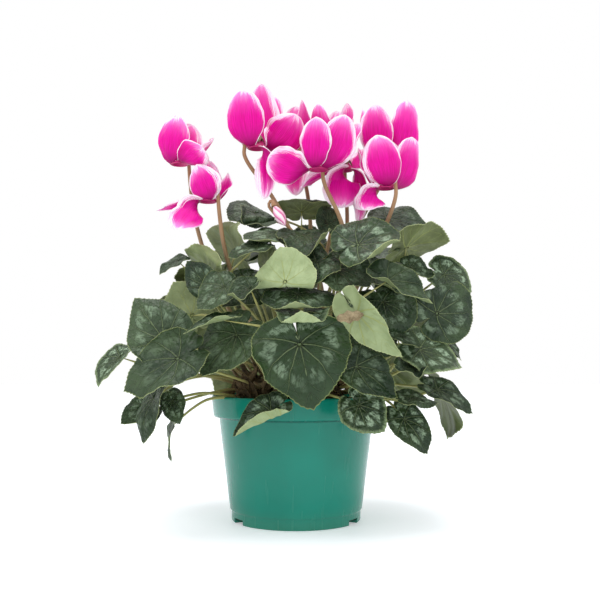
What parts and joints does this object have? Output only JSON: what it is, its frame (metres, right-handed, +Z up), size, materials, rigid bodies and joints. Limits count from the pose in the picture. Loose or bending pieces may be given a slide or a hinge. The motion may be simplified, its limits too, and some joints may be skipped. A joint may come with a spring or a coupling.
{
  "type": "potted cyclamen",
  "caption": "Flowering cyclamen plant with swept-back petals and heart-shaped leaves, growing from a tuber in a round tapered plastic pot.",
  "frame": {"origin": "middle of the pot's flat floor", "axes": "+Z up along the pot's axis, the pictured side faces -Y"},
  "size_m": [0.3229, 0.2651, 0.3902],
  "materials": {
    "pot": "semi-gloss green",
    "soil": "dark crumbly soil",
    "tuber": "rough brown skin",
    "leaves": "dark green, silver-green pattern, paler below",
    "stems": "tan-brown, green at the calyx",
    "petals": "magenta with pale edges"
  },
  "bodies": {
    "root": {"pot": "pot", "soil": "soil", "tuber": "tuber", "flower_left_upper_petals": "petals", "flower_left_upper_stem": "stems", "flower_left_lower_petals": "petals", "flower_left_lower_stem": "stems", "flower_left_tall_petals": "petals", "flower_left_tall_stem": "stems", "flower_back_left_petals": "petals", "flower_back_left_stem": "stems", "flower_front_middle_petals": "petals", "flower_front_middle_stem": "stems", "flower_back_middle_petals": "petals", "flower_back_middle_stem": "stems", "flower_back_right_petals": "petals", "flower_back_right_stem": "stems", "flower_front_right_petals": "petals", "flower_front_right_stem": "stems", "flower_middle_nodding_petals": "petals", "flower_middle_nodding_stem": "stems", "bud_petals": "petals", "bud_stem": "stems", "leaves_front_large": "leaves", "leaves_front_turned": "leaves", "leaf_front_rim": "leaves", "leaves_front_high": "leaves", "leaves_front_crown": "leaves", "leaves_left_cup": "leaves", "leaf_left_large": "leaves", "leaves_left_broad": "leaves", "leaves_left_dark": "leaves", "leaf_left_far": "leaves", "leaves_left_low": "leaves", "leaves_left_hanging": "leaves", "leaves_left_high": "leaves", "leaves_left_back": "leaves", "leaves_right_veined": "leaves", "leaf_right_underside": "leaves", "leaf_right_shoulder": "leaves", "leaves_right_folded": "leaves", "leaf_right_boat": "leaves", "leaf_right_twisted": "leaves", "leaves_right_inner": "leaves", "leaves_right_round": "leaves", "leaf_right_grey": "leaves", "leaves_right_heart": "leaves", "leaves_right_pointed": "leaves", "leaves_right_rim": "leaves", "leaves_top_left": "leaves", "leaves_top_middle": "leaves", "leaf_top_front": "leaves", "leaves_back_1": "leaves", "leaves_back_2": "leaves", "leaves_back_3": "leaves", "leaves_back_4": "leaves", "leaves_back_5": "leaves", "leaves_back_6": "leaves", "leaves_back_7": "leaves", "leaves_back_8": "leaves"}
  },
  "joints": []
}
